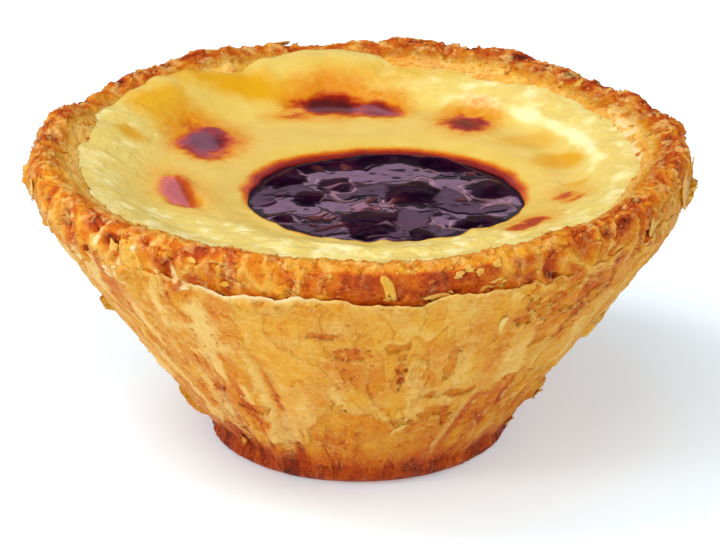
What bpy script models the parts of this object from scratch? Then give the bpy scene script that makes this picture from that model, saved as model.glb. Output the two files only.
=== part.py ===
"""Baked custard tart with a blueberry pool, in metres, +Z up, its front towards -Y.

Three solids: the puff pastry cup, the custard that fills it and the blueberry jam that lies in the custard.
Sizes below are in millimetres and become metres in solid(). An azimuth is in degrees, 0 at the front and
90 at the right.
"""

import math

import bmesh
import bpy
from mathutils import Vector, noise

MM = 0.001
GAP = 0.3

# Pastry cup: heights and radii of its turned profile
HEIGHT = 35.0
FOOT_RADIUS = 14.9
HEEL_RADIUS = 17.9
HEEL_HEIGHT = 2.3
WALL_TOP_RADIUS = 36.1
WALL_TOP = HEIGHT - 6.6
BAND_FOOT_RADIUS = 35.8
BAND_FOOT = HEIGHT - 6.0
BAND_RADIUS = 37.5
BAND_HEIGHT = HEIGHT - 2.6
CREST_OUTER_RADIUS = 36.5
CREST_RADIUS = 35.2
CREST_INNER_RADIUS = 33.9
SILL_RADIUS = 32.2
SILL = HEIGHT - 2.6
WALL_DEPTH = 5.0
FLOOR = 4.0
CUP_FLOOR_RADIUS = 13.6
AROUND_CUP = 124

# Long folds in the wall: azimuth at the top and at the bottom, lowest and highest point, depth and half width
FOLDS = (
    (-22.5, -21.0, 3.0, 23.0, 1.1, 1.5),
    (-37.0, -42.0, 3.0, 19.0, 0.9, 1.4),
    (-62.0, -55.0, 5.0, 26.0, 0.5, 1.8),
    (-54.0, -54.0, -2.0, 8.0, 0.9, 4.5),
    (54.0, 54.0, -2.0, 7.0, 0.5, 3.5),
    (34.0, 29.0, 4.0, 15.0, 0.6, 1.6),
    (75.0, 68.0, 6.0, 25.0, 0.5, 2.0),
    (118.0, 126.0, 4.0, 22.0, 0.9, 1.6),
    (171.0, 166.0, 3.0, 24.0, 1.0, 1.6),
    (-141.0, -136.0, 4.0, 20.0, 0.8, 1.5),
    (-103.0, -108.0, 5.0, 25.0, 0.6, 1.8),
)

# Holes torn in the outer leaf: azimuth and height of the middle, half width, half height and depth
TEARS = (
    (-4.5, 24.6, 1.9, 1.5, 0.8),
    (8.0, 21.0, 1.7, 3.2, 0.8),
    (19.5, 20.0, 0.9, 2.0, 0.7),
    (17.5, 14.6, 2.4, 0.9, 0.6),
    (43.0, 22.0, 3.4, 2.6, 0.5),
    (-29.0, 12.5, 2.6, 1.6, 0.5),
    (96.0, 20.0, 2.8, 2.2, 0.7),
    (148.0, 17.0, 3.0, 1.8, 0.7),
    (-160.0, 21.5, 2.4, 2.6, 0.8),
    (-84.0, 17.5, 2.8, 1.6, 0.6),
)

# Waves of the crest: azimuth, half width in degrees and rise above the mean height
CREST_WAVES = (
    (-107.0, 7.0, 0.7),
    (-121.0, 8.0, -0.7),
    (-151.0, 6.0, 0.6),
    (-171.0, 7.0, -0.5),
    (-180.0, 5.0, -0.1),
    (169.0, 6.0, 0.5),
    (151.0, 7.0, 0.5),
    (130.0, 8.0, -0.5),
    (103.0, 9.0, 0.4),
    (70.0, 8.0, 0.4),
    (42.0, 8.0, 0.3),
    (12.0, 9.0, -0.3),
    (-24.0, 10.0, 0.3),
    (-52.0, 8.0, -0.3),
    (-80.0, 8.0, 0.3),
)

# Flakes that stand off the crust: azimuth and height of the middle, half width, half height and lift
FLAKES = (
    (86.0, 30.2, 2.6, 1.3, 0.9),
    (103.0, 33.0, 2.4, 1.4, 0.6),
    (62.0, 29.6, 3.0, 1.2, 0.5),
    (33.0, 30.0, 2.4, 1.2, 0.5),
    (9.0, 30.6, 1.8, 1.4, 0.5),
    (-18.0, 29.2, 3.2, 1.0, 0.5),
    (-47.0, 29.6, 2.8, 1.2, 0.5),
    (-88.0, 31.0, 2.6, 1.8, 0.5),
    (-73.0, 19.6, 1.8, 1.4, 0.5),
    (-76.0, 5.6, 2.6, 2.2, 0.5),
    (72.0, 16.8, 3.0, 2.2, 0.4),
    (76.0, 6.8, 2.8, 1.8, 0.5),
    (132.0, 30.0, 3.4, 1.3, 0.6),
    (168.0, 30.6, 2.8, 1.4, 0.6),
    (-150.0, 29.8, 3.2, 1.3, 0.5),
    (-121.0, 27.0, 2.2, 2.4, 0.5),
    (157.0, 11.0, 2.4, 2.4, 0.5),
    (-171.0, 7.5, 2.6, 1.8, 0.5),
    (112.0, 12.0, 2.2, 2.6, 0.5),
)

# Custard: how far its top lies under the crest at each radius, and its lip at the pastry
CUSTARD_DROPS = ((16.0, 4.3), (21.0, 4.1), (24.0, 4.4), (26.0, 4.0), (28.5, 3.0), (30.5, 2.5), (34.0, 2.3))
CUSTARD_CLIMB_AZIMUTH = -171.0
CUSTARD_CLIMB = 1.5
AROUND_CUSTARD = 96

# Jam pool: middle, half widths, how far it lies under the crest, and the bowl that holds it
POOL_X = 2.9
POOL_Y = -2.1
POOL_HALF_WIDTH = 15.4
POOL_HALF_DEPTH = 14.6
POOL_DROP = 5.1
POOL_BOWL = 6.0
AROUND_POOL = 72

# Burst berries under the jam's skin: place from the pool's middle, radius and rise
BERRIES = (
    (-1.5, -3.6, 4.3, 1.5),
    (3.6, -4.6, 3.6, 1.3),
    (0.5, 1.6, 3.8, 0.9),
    (-7.6, 1.2, 3.2, 0.9),
    (-5.4, 5.6, 3.4, 0.8),
    (5.8, 5.4, 3.6, 1.0),
    (10.6, 2.2, 3.0, 0.9),
    (8.6, -2.6, 3.3, 1.1),
    (-9.6, -4.2, 3.0, 0.8),
    (-3.0, -9.4, 3.4, 0.9),
    (6.4, -9.4, 3.2, 1.0),
    (1.0, 9.4, 3.0, 0.7),
)


def clear_scene():
    for old in list(bpy.data.objects):
        bpy.data.objects.remove(old, do_unlink=True)


def ripple(x, y, z, size, seed):
    """Smooth noise of about -1 to 1 whose bumps lie size mm apart."""
    return noise.noise(Vector((x / size + 7.3 * seed, y / size - 3.1 * seed, z / size + 1.7 * seed)))


def smooth(low, high, value):
    share = min(max((value - low) / (high - low), 0.0), 1.0)
    return share * share * (3.0 - 2.0 * share)


def mix(first, second, share):
    return first + (second - first) * share


def turn_between(first, second):
    """Degrees from one azimuth to another, by the shorter way round."""
    return (second - first + 180.0) % 360.0 - 180.0


def place(azimuth, radius, height):
    angle = math.radians(azimuth)
    return Vector((radius * math.sin(angle), -radius * math.cos(angle), height))


def azimuths(count):
    return [360.0 * step / count for step in range(count)]


def along(points, value):
    """The value that a broken line of (place, value) points has at this place, smoothed between points."""
    if value <= points[0][0]:
        return points[0][1]
    for (low, first), (high, second) in zip(points, points[1:]):
        if value <= high:
            return mix(first, second, smooth(low, high, value))
    return points[-1][1]


def wall_radius(height):
    return mix(HEEL_RADIUS, WALL_TOP_RADIUS, (height - HEEL_HEIGHT) / (WALL_TOP - HEEL_HEIGHT))


def fold_relief(azimuth, height):
    """How far the long folds and the torn holes draw the wall in."""
    radius = wall_radius(height)
    inward = 0.0
    for top, bottom, low, high, depth, half_width in FOLDS:
        middle = mix(bottom, top, (height - low) / (high - low))
        across = math.radians(turn_between(middle, azimuth)) * radius / half_width
        ends = smooth(low - 3.0, low + 1.5, height) * (1.0 - smooth(high - 6.0, high + 1.0, height))
        inward += depth * math.exp(-across * across) * ends
    for middle, centre, half_width, half_height, depth in TEARS:
        across = math.radians(turn_between(middle, azimuth)) * radius / half_width
        up = (height - centre) / half_height
        inward += depth * (1.0 - smooth(0.6, 1.3, math.hypot(across, up)))
    return -inward


def leaf_relief(x, y, z):
    """Steps between the torn leaves of the pastry: level patches that end in short drops."""
    level = 2.6 * ripple(x, y, z * 0.7, 11.0, 3) + 0.9 * ripple(x, y, z, 5.0, 4)
    step = math.floor(level)
    return 0.42 * (step + smooth(0.55, 1.0, level - step))


def wall_relief(azimuth, height):
    x, y, z = place(azimuth, wall_radius(height), height)
    sway = 0.5 * ripple(x, y, z * 0.35, 13.0, 1) + 0.22 * ripple(x, y, z, 4.5, 2)
    flakes = flake_relief(azimuth, wall_radius(height), height)
    return sway + leaf_relief(x, y, z) + fold_relief(azimuth, height) + flakes


def flake_relief(azimuth, radius, height):
    """How far the named flakes stand off the crust."""
    lift = 0.0
    for middle, centre, half_width, half_height, rise in FLAKES:
        across = math.radians(turn_between(middle, azimuth)) * radius / half_width
        up = (height - centre) / half_height
        lift = max(lift, rise * (1.0 - smooth(0.5, 1.3, math.hypot(across, up))))
    return lift


def rim_lift(azimuth):
    """How far the crest stands above its mean height, and how far the rim leans out."""
    x, y, _ = place(azimuth, CREST_RADIUS, 0.0)
    lift = 0.22 * ripple(x, y, 0.0, 4.5, 6)
    lean = 0.35 * ripple(x, y, 0.0, 19.0, 7)
    for middle, half_width, rise in CREST_WAVES:
        lift += rise * (1.0 - smooth(0.3, 1.3, abs(turn_between(middle, azimuth)) / half_width))
    return lift, lean


def crag_relief(x, y, z):
    """Blistered crust of the rim band: crags with blunt tops and deep clefts."""
    crags = 1.0 - 2.2 * abs(ripple(x, y, z * 0.8, 5.2, 8))
    return 0.55 * crags + 0.35 * ripple(x, y, z, 2.6, 9) - 0.25


def inner_radius(azimuth, height):
    """The cup's inner face, which the custard follows a gap further in."""
    if height > SILL:
        radius = mix(SILL_RADIUS, CREST_INNER_RADIUS, (height - SILL) / (HEIGHT - 0.5 - SILL))
    else:
        radius = min(SILL_RADIUS, wall_radius(height) - WALL_DEPTH + 0.9 * smooth(SILL - 8.0, SILL, height))
    x, y, _ = place(azimuth, radius, height)
    showing = smooth(SILL - 6.0, SILL, height)
    return radius + showing * 0.5 * ripple(x, y, height, 6.0, 10)


def cup_outer_rings():
    """Rings of the cup from its foot to its crest, each as (radius, height, which relief applies)."""
    foot = [(FOOT_RADIUS * 0.55, 0.0, "flat"), (FOOT_RADIUS, 0.0, "flat")]
    for step in range(1, 4):
        angle = math.radians(90.0 * step / 4)
        radius = FOOT_RADIUS + (HEEL_RADIUS - FOOT_RADIUS) * math.sin(angle)
        foot.append((radius, HEEL_HEIGHT * (1.0 - math.cos(angle)), "wall"))
    wall_rows = 13
    for step in range(wall_rows + 1):
        height = mix(HEEL_HEIGHT, WALL_TOP, step / wall_rows)
        foot.append((wall_radius(height), height, "wall"))
    band = (
        (BAND_FOOT_RADIUS, BAND_FOOT),
        (BAND_RADIUS - 0.5, mix(BAND_FOOT, BAND_HEIGHT, 0.45)),
        (BAND_RADIUS, BAND_HEIGHT),
        (BAND_RADIUS - 0.2, BAND_HEIGHT + 1.1),
        (CREST_OUTER_RADIUS, HEIGHT - 0.45),
        (CREST_RADIUS, HEIGHT),
        (CREST_INNER_RADIUS + 0.3, HEIGHT - 0.25),
    )
    return foot + [(radius, height, "band") for radius, height in band]


def cup_outer_point(azimuth, radius, height, kind):
    if kind == "flat":
        return place(azimuth, radius, height)
    if kind == "wall":
        strength = smooth(0.2, HEEL_HEIGHT, height)
        return place(azimuth, radius + strength * wall_relief(azimuth, max(height, HEEL_HEIGHT)), height)
    x, y, z = place(azimuth, radius, height)
    lift, lean = rim_lift(azimuth)
    share = smooth(WALL_TOP, HEIGHT, height)
    crags = crag_relief(x, y, z) * (1.0 - 0.5 * smooth(HEIGHT - 1.5, HEIGHT, height))
    out = crags + flake_relief(azimuth, radius, height) + lean * share
    return place(azimuth, radius + out, height + lift * share)


def pastry_shell():
    rings = []
    for radius, height, kind in cup_outer_rings():
        rings.append([cup_outer_point(azimuth, radius, height, kind) for azimuth in azimuths(AROUND_CUP)])
    for height in (HEIGHT - 0.9, HEIGHT - 1.7, SILL, SILL - 1.5, SILL - 5.0, 20.0, 12.0, 6.5):
        share = smooth(SILL, HEIGHT, height)
        ring = []
        for azimuth in azimuths(AROUND_CUP):
            lift, lean = rim_lift(azimuth)
            radius = inner_radius(azimuth, height) + lean * share
            ring.append(place(azimuth, radius, height + lift * share))
        rings.append(ring)
    rings.append([place(azimuth, CUP_FLOOR_RADIUS, FLOOR) for azimuth in azimuths(AROUND_CUP)])
    return solid("pastry_shell", (0.0, 0.0, 0.0), rings, (0.0, 0.0, FLOOR))


def pool_edge(azimuth, height, shrink=0.0):
    """The wavering edge of the jam pool."""
    x, y, _ = place(azimuth, 1.0, 0.0)
    waver = 1.0 + 0.05 * ripple(x, y, 0.0, 0.55, 11) + 0.025 * ripple(x, y, 0.0, 0.22, 12)
    wide = POOL_HALF_WIDTH * waver - shrink
    deep = POOL_HALF_DEPTH * waver - shrink
    return Vector((POOL_X + wide * x, POOL_Y + deep * y, height))


def bowl_depth(share):
    """Depth of the bowl under the jam, from its middle (0) to its edge (1)."""
    return POOL_BOWL * (1.0 - share ** 2.4)


def custard_top(x, y, from_pool):
    """Height of the custard's top, where from_pool is its distance from the jam's edge."""
    radius = math.hypot(x, y)
    azimuth = math.degrees(math.atan2(x, -y))
    drop = along(CUSTARD_DROPS, radius)
    toward_climb = math.exp(-(turn_between(CUSTARD_CLIMB_AZIMUTH, azimuth) / 16.0) ** 2)
    climb = CUSTARD_CLIMB * toward_climb * smooth(27.0, 33.0, radius)
    bumps = (0.18 * ripple(x, y, 0.0, 7.0, 13) + 0.1 * ripple(x, y, 0.0, 3.2, 14)) * smooth(0.0, 5.0, from_pool)
    height = HEIGHT - drop + climb + bumps
    return mix(HEIGHT - POOL_DROP + 0.35, height, smooth(-0.5, 4.5, from_pool))


def custard():
    floor = FLOOR + GAP
    rings = [[place(azimuth, CUP_FLOOR_RADIUS - 1.0, floor) for azimuth in azimuths(AROUND_CUSTARD)]]
    for height in (6.5, 12.0, 20.0, SILL - 5.0, SILL - 1.5):
        rings.append(
            [place(azimuth, inner_radius(azimuth, height) - 1.6 * GAP, height) for azimuth in azimuths(AROUND_CUSTARD)]
        )
    for share in (1.0, 0.9, 0.8, 0.68, 0.55, 0.4, 0.25, 0.1, 0.0):
        ring = []
        for azimuth in azimuths(AROUND_CUSTARD):
            edge = pool_edge(azimuth, 0.0)
            rim = place(azimuth, SILL_RADIUS, 0.0)
            middle = edge.lerp(rim, share)
            height = custard_top(middle.x, middle.y, (middle - edge).length)
            if share == 1.0:
                middle = place(azimuth, inner_radius(azimuth, min(height, SILL)) - 1.6 * GAP, 0.0)
            ring.append(Vector((middle.x, middle.y, height)))
        rings.append(ring)
    pool_middle = Vector((POOL_X, POOL_Y, 0.0))
    edge_height = HEIGHT - POOL_DROP
    for share in (0.96, 0.8, 0.5):
        ring = []
        for azimuth in azimuths(AROUND_CUSTARD):
            middle = pool_middle.lerp(pool_edge(azimuth, 0.0), share)
            ring.append(Vector((middle.x, middle.y, edge_height - bowl_depth(share))))
        rings.append(ring)
    return solid("custard", (0.0, 0.0, floor), rings, (POOL_X, POOL_Y, edge_height - POOL_BOWL))


def jam_top(x, y, from_edge):
    """Height of the jam's top: burst berries under its skin, drawn down to a thin edge."""
    lumps = 0.0
    for berry_x, berry_y, radius, rise in BERRIES:
        away = math.hypot(x - POOL_X - berry_x, y - POOL_Y - berry_y) / radius
        lumps = max(lumps, rise * math.sqrt(max(1.0 - away * away, 0.0)))
    ripples = 0.22 * ripple(x, y, 0.0, 2.6, 15)
    return HEIGHT - POOL_DROP - 0.35 + (lumps + ripples) * smooth(0.0, 2.4, from_edge)


def blueberry_jam():
    edge_height = HEIGHT - POOL_DROP
    pool_middle = Vector((POOL_X, POOL_Y, 0.0))
    rings = []
    for share in (0.5, 0.8, 0.96):
        ring = []
        for azimuth in azimuths(AROUND_POOL):
            middle = pool_middle.lerp(pool_edge(azimuth, 0.0, 1.5 * GAP), share)
            ring.append(Vector((middle.x, middle.y, edge_height - bowl_depth(share) + 1.5 * GAP)))
        rings.append(ring)
    for share in (1.0, 0.93, 0.84, 0.73, 0.61, 0.49, 0.37, 0.25, 0.12):
        ring = []
        for azimuth in azimuths(AROUND_POOL):
            edge = pool_edge(azimuth, 0.0, 1.5 * GAP)
            middle = pool_middle.lerp(edge, share)
            height = jam_top(middle.x, middle.y, (edge - middle).length)
            ring.append(Vector((middle.x, middle.y, height)))
        rings.append(ring)
    bottom = (POOL_X, POOL_Y, edge_height - POOL_BOWL + 1.5 * GAP)
    return solid("blueberry_jam", bottom, rings, (POOL_X, POOL_Y, jam_top(POOL_X, POOL_Y, POOL_HALF_DEPTH)))


def solid(name, first_pole, rings, last_pole):
    """A closed surface through rings of points, each end drawn to one point. Sizes come in as millimetres."""
    shape = bmesh.new()
    loops = [[shape.verts.new(Vector(point) * MM) for point in ring] for ring in rings]
    for lower, upper in zip(loops, loops[1:]):
        for here in range(len(lower)):
            there = (here + 1) % len(lower)
            shape.faces.new((lower[here], lower[there], upper[there], upper[here]))
    for loop, pole, inward in ((loops[0], first_pole, True), (loops[-1], last_pole, False)):
        tip = shape.verts.new(Vector(pole) * MM)
        for here in range(len(loop)):
            there = (here + 1) % len(loop)
            ends = (loop[there], loop[here]) if inward else (loop[here], loop[there])
            shape.faces.new((tip, *ends))
    mesh = bpy.data.meshes.new(name)
    shape.to_mesh(mesh)
    shape.free()
    made = bpy.data.objects.new(name, mesh)
    bpy.context.collection.objects.link(made)
    return made


def finish(made, colour, roughness):
    """Gives a solid its own material."""
    material = bpy.data.materials.new(made.name)
    material.use_nodes = True
    shader = material.node_tree.nodes["Principled BSDF"]
    shader.inputs["Base Color"].default_value = (*colour, 1.0)
    shader.inputs["Roughness"].default_value = roughness
    shader.inputs["Metallic"].default_value = 0.0
    made.data.materials.append(material)


clear_scene()
finish(pastry_shell(), (0.62, 0.32, 0.09), 0.62)
finish(custard(), (0.86, 0.66, 0.2), 0.35)
finish(blueberry_jam(), (0.045, 0.008, 0.035), 0.16)
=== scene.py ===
"""Looks of the baked custard tart with a blueberry pool: its pastry, custard and jam in full detail.

Sizes are in millimetres and become metres where a mesh is made. An azimuth is in degrees, 0 at the front and
90 at the right. The pieces follow the solids that they replace, with finer relief.
"""

import math

import bpy
import numpy as np
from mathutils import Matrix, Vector, noise


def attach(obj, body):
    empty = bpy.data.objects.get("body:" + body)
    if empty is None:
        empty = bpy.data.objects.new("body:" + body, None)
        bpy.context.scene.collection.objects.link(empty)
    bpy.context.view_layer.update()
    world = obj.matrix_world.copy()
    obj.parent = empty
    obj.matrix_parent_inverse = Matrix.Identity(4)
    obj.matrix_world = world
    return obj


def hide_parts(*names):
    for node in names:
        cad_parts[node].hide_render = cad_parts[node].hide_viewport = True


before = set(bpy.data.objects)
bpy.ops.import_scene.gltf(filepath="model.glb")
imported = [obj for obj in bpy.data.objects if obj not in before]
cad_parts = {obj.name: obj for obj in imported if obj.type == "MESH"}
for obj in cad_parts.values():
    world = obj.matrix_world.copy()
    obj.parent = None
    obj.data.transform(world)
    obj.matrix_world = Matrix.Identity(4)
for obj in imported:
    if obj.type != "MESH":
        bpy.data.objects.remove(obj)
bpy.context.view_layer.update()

MM = 0.001

# Pastry cup: heights and radii of its turned profile
HEIGHT = 35
FOOT_RADIUS = 14.7
HEEL_RADIUS = 17.6
HEEL_HEIGHT = 2.3
WALL_TOP_RADIUS = 36.1
WALL_TOP = HEIGHT - 6.6
BAND_RADIUS = 37.5
BAND_HEIGHT = HEIGHT - 2.6
CREST_RADIUS = 35.2
CREST_INNER_RADIUS = 33.9
SILL_RADIUS = 32.2
SILL = HEIGHT - 2.6
WALL_DEPTH = 5
SKIN = 0.34
MEAN_RADIUS = 26

# Points around and rows of the detailed pieces, and how many small flakes and crumbs there are
WALL_AROUND = 820
WALL_ROWS = 96
FOOT_ROWS = 12
HEEL_ROWS = 6
RIM_AROUND = 900
CUSTARD_AROUND = 560
CUSTARD_ROWS = 110
POOL_AROUND = 420
POOL_ROWS = 130
WALL_FLAKES = 44
RIM_FLAKES = 130
CRUMBS = 420

# Long folds in the wall: azimuth at the top and at the bottom, lowest and highest point, depth, half width
FOLDS = (
    (-22.5, -21, 3, 23, 1.1, 1.5),
    (-37, -42, 3, 19, 0.9, 1.4),
    (-62, -55, 5, 26, 0.5, 1.8),
    (-54, -54, -2, 8, 1.3, 5.5),
    (54, 54, -2, 7, 0.5, 3.5),
    (34, 29, 4, 15, 0.6, 1.6),
    (75, 68, 6, 25, 0.5, 2),
    (118, 126, 4, 22, 0.9, 1.6),
    (171, 166, 3, 24, 1, 1.6),
    (-141, -136, 4, 20, 0.8, 1.5),
    (-103, -108, 5, 25, 0.6, 1.8),
)

# Rough patches with no outer leaf: azimuth and height of the middle, half width and half height
CRUMBLY = (
    (43, 26.5, 10, 5),
    (139, 25, 11, 5),
    (-128, 26, 8, 4),
    (-176, 24, 7, 4.5),
)

# Holes torn in the outer leaf: azimuth and height of the middle, half width and half height
TEARS = (
    (-6.2, 25.3, 1.5, 0.5),
    (-1.6, 22.4, 1.6, 1.1),
    (7.2, 23.2, 1.5, 0.9),
    (9.2, 20, 0.6, 2.4),
    (20.2, 19.9, 0.5, 2),
    (24, 14.7, 2.8, 0.5),
    (43, 22, 2.8, 2),
    (-29, 11.5, 1.6, 0.7),
    (96, 20, 2.8, 2.2),
    (148, 17, 3, 1.8),
    (-160, 21.5, 2.4, 2.6),
    (-84, 17.5, 2.8, 1.6),
)

# Waves of the crest: azimuth, half width in degrees and rise above the mean height
CREST_WAVES = (
    (-107, 7, 0.7),
    (-121, 8, -0.7),
    (-151, 6, 0.6),
    (-171, 7, -0.5),
    (-180, 5, -0.1),
    (169, 6, 0.5),
    (151, 7, 0.5),
    (130, 8, -0.5),
    (103, 9, 0.4),
    (70, 8, 0.4),
    (42, 8, 0.3),
    (12, 9, -0.3),
    (-24, 10, 0.3),
    (-52, 8, -0.3),
    (-80, 8, 0.3),
)

# Flakes that stand off the crust: azimuth and height of the middle, half width, half height and lift
FLAKES = (
    (86, 30.2, 2.6, 1.3, 0.9),
    (103, 33, 2.4, 1.4, 0.6),
    (62, 29.6, 3, 1.2, 0.5),
    (33, 30, 2.4, 1.2, 0.5),
    (9, 30.6, 1.8, 1.4, 0.5),
    (-18, 29.2, 3.2, 1, 0.5),
    (-47, 29.6, 2.8, 1.2, 0.5),
    (-88, 31, 2.6, 1.8, 0.5),
    (-75, 18.6, 1.5, 0.9, 0.9),
    (-76, 5.6, 2.2, 1.6, 0.9),
    (72, 16.8, 2.6, 1.6, 0.7),
    (76, 6.8, 2.2, 1.2, 0.5),
    (132, 30, 3.4, 1.3, 0.6),
    (168, 30.6, 2.8, 1.4, 0.6),
    (-150, 29.8, 3.2, 1.3, 0.5),
    (-121, 27, 2.2, 2.4, 0.5),
    (157, 11, 2.4, 2.4, 0.5),
    (-171, 7.5, 2.6, 1.8, 0.5),
    (112, 12, 2.2, 2.6, 0.5),
)

# Custard: radius, and how far its top lies under the crest there
CUSTARD_DROPS = ((16, 4.7), (21, 4.4), (24, 4.5), (26, 4.1), (28.5, 3.1), (30.5, 2.5), (34, 2.2))

# Where the custard climbs the pastry: azimuth, half width in degrees and rise
CUSTARD_CLIMBS = (
    (-171, 16, 1.5),
    (-140, 17, 1.2),
    (-112, 13, 0.6),
)

# Browned spots of the custard: middle, half widths along and across, turn in degrees, how dark and how level
SPOTS = (
    (-3.4, 24.3, 5.2, 3.9, 6, 0.98, 0.5),
    (2.2, 23.4, 3.8, 3, -12, 0.85, 0.8),
    (-7.2, 21.8, 3.6, 2.3, 24, 0.45, 0),
    (-17.8, 12.9, 4.1, 5.8, 12, 1, 0.7),
    (-20.5, -3, 2.8, 6.4, 20, 0.62, 1),
    (12.5, 18.7, 3.4, 3.8, 0, 0.88, 0),
    (18.9, -13, 4.2, 1.7, 44, 0.62, 0),
    (23.9, -5, 2.7, 2.1, 30, 0.52, 0),
)

# Yellow patches where the custard has only coloured: middle, half widths and strength
GLOWS = (
    (-14, 26.5, 11, 2.6, 1),
    (-23, 19.5, 4.5, 4, 0.9),
    (23.1, 6.6, 3.4, 2.4, 1),
    (19.5, 13, 4, 2.2, 0.6),
    (-26.2, 11.6, 2, 1.8, 0.9),
    (24.6, -0.6, 1.6, 0.8, 0.8),
    (-8, 20.8, 3.2, 1.8, 0.9),
    (4, 30, 9, 2, 0.5),
)

# Jam pool: middle, half widths, how far it lies under the crest, and the bowl that holds it
POOL_X = 2.9
POOL_Y = -3
POOL_HALF_WIDTH = 15.7
POOL_HALF_DEPTH = 14.3
POOL_DROP = 5.5
POOL_BOWL = 6

# Dark lumps of burst berry in the jam: place from the pool's middle, half width, half depth and rise
BERRIES = (
    (-2, -7.4, 3.9, 5.4, 0.55),
    (2.9, 1.6, 3.5, 3.7, 0.5),
    (-5.4, 3.8, 2.2, 2.3, 0.3),
    (12.2, 2.2, 3.2, 3.9, 0.5),
    (6.9, 9.8, 3.6, 2.6, 0.4),
    (-11.2, 5.4, 3, 2.2, 0.4),
    (3.9, -11, 1.8, 2.8, 0.4),
    (-8.5, 0.2, 1.9, 1.9, 0.3),
    (10.8, -6.8, 3.6, 2.4, 0.4),
    (-11.6, -5.4, 2.2, 1.8, 0.3),
)

# Flakes on the rim: azimuth, place from the band's foot (0) to inside the cup (1), length, width, turn,
# brown and pale
RIM_SCRAPS = (
    (5, 0.31, 2.7, 1.4, 108, 0.42, 0.1),
    (13, 0.21, 3, 0.8, 8, 0.42, 0.5),
    (23, 0.23, 3.2, 1.3, 22, 0.4, 0.45),
    (17, 0.36, 1.2, 0.8, 20, 0.45, 0.6),
    (18.8, 0.39, 1.4, 0.7, -15, 0.45, 0.5),
    (20.5, 0.36, 0.9, 0.7, 40, 0.5, 0.4),
    (-12, 0.24, 2.4, 0.9, -8, 0.45, 0.5),
    (-47, 0.3, 2.2, 1.1, 75, 0.4, 0.5),
    (-62, 0.28, 2.6, 1.2, 95, 0.4, 0.6),
    (-78, 0.3, 3.4, 2, 60, 0.42, 0.4),
    (62, 0.28, 3, 1.8, 30, 0.42, 0.3),
    (76, 0.32, 3.8, 2.4, 50, 0.44, 0.25),
    (88, 0.3, 2.6, 1.6, 80, 0.42, 0.3),
    (121, 0.4, 3, 1.6, 10, 0.5, 0.3),
    (-140, 0.42, 3, 1.4, -10, 0.5, 0.4),
    (168, 0.45, 2.6, 1.4, 15, 0.5, 0.4),
    (-165, 0.44, 2.8, 1.4, 0, 0.48, 0.5),
)

# Flakes on the wall: azimuth, height, length, width, turn, brown, pale
WALL_SCRAPS = (
    (26.5, 26, 2.6, 0.9, 95, 0.3, 0.8),
    (-79, 18, 2.4, 1, 60, 0.4, 0.5),
    (-51, 3.2, 2, 0.8, 60, 0.6, 0.2),
    (75, 6.6, 2, 0.8, 120, 0.4, 0.5),
    (71, 3.4, 1.8, 0.7, 120, 0.45, 0.4),
    (80, 23.5, 2.2, 0.9, 120, 0.4, 0.5),
    (85, 26.6, 2.2, 0.9, 110, 0.4, 0.5),
    (12, 9.5, 2.2, 0.7, 40, 0.35, 0.7),
    (150, 20, 3, 1.2, 80, 0.4, 0.5),
    (-150, 12, 3, 1.2, 100, 0.4, 0.5),
)

# Rusty streaks of berry skin: place from the pool's middle, half width, half depth and turn in degrees
STREAKS = (
    (-0.6, -1.4, 3.6, 2.2, 8),
    (-7.6, -5.6, 3.8, 2.6, -30),
    (-6, 8.6, 2.6, 0.8, 0),
    (9.6, -1, 1.6, 1, 0),
    (11, 7, 2, 0.8, -20),
)

# Stretches round the tart: the azimuths where each starts and ends, and how many degrees it takes to fade
CLEAR_LIP = (-30, 26, 10)
WHITE_LIP = (-36, -7, 8)
LIP_DIP = (0, 13, 4)
LOW_LEAF = (-58, -12, 18)
STREAKED_SIDES = ((-125, -24, 14), (30, 120, 14))
THIN_SHOULDER = (-115, -62, 20)
SHADED_LEFT = (-75, -24, 14)
PALE_LEFT = (-75, -20, 16)
LOW_BACK = (95, 265, 30)
CALM_BAND = (-3, 23, 6)
TAN_BANDS = ((64, 96, 12), (-112, -80, 14))
PITTED_BANDS = ((27, 62, 10), (-72, -32, 12), (130, 158, 12))
GOLDEN_BAND = (-76, -38, 16)
SHREDDED_BAND = (-62, -24, 14)
LIGHT_CREST = (-14, 38, 12)
SCORCHED_CREST = (82, 158, 16)
LEFT_FACE = (-150, -40, 20)
BARE_DOUGH = (88, 132, 12)
NEAR_HALF = (-62, 62, 40)
RISEN_COLLAR = (-178, -128, 20)
RIDGE = (100, 158, 16)

# Places on a scale of 0 to 1 and their colours on screen: pastry as it bakes, custard as it burns, and jam
BAKED_TONES = (
    (0.02, (240, 208, 132)),
    (0.22, (230, 178, 76)),
    (0.38, (222, 154, 36)),
    (0.52, (212, 128, 14)),
    (0.66, (200, 96, 4)),
    (0.78, (176, 64, 2)),
    (0.9, (130, 40, 3)),
    (1, (70, 22, 5)),
)
BURNT_TONES = (
    (0, (220, 176, 60)),
    (0.28, (212, 136, 22)),
    (0.5, (188, 78, 10)),
    (0.72, (136, 28, 10)),
    (1, (78, 10, 12)),
)
JAM_TONES = (
    (0.3, (10, 1, 12)),
    (0.5, (24, 2, 22)),
    (0.7, (46, 6, 30)),
)

# Soft light panels: azimuth, elevation, metres away, width and height in metres, watts, colour if not white
LIGHTS = (
    ("key", -82, 60, 1.2, 0.45, 0.45, 6.6),
    ("overhead", -10, 78, 1.2, 0.8, 0.8, 3.2),
    ("front_high", -12, 52, 1.3, 0.7, 0.7, 3),
    ("right_high", 70, 40, 1.3, 0.6, 0.6, 3.5),
    ("left_fill", -66, 20, 1.3, 0.4, 0.4, 5.8),
    ("front_fill", 8, 22, 1.4, 0.9, 0.9, 4.4),
    ("back_panel", 180, 26.5, 1.1, 0.5, 0.17, 0.42, (0.9, 0.5, 0.82)),
)
FLOOR_HALF = 3

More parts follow.
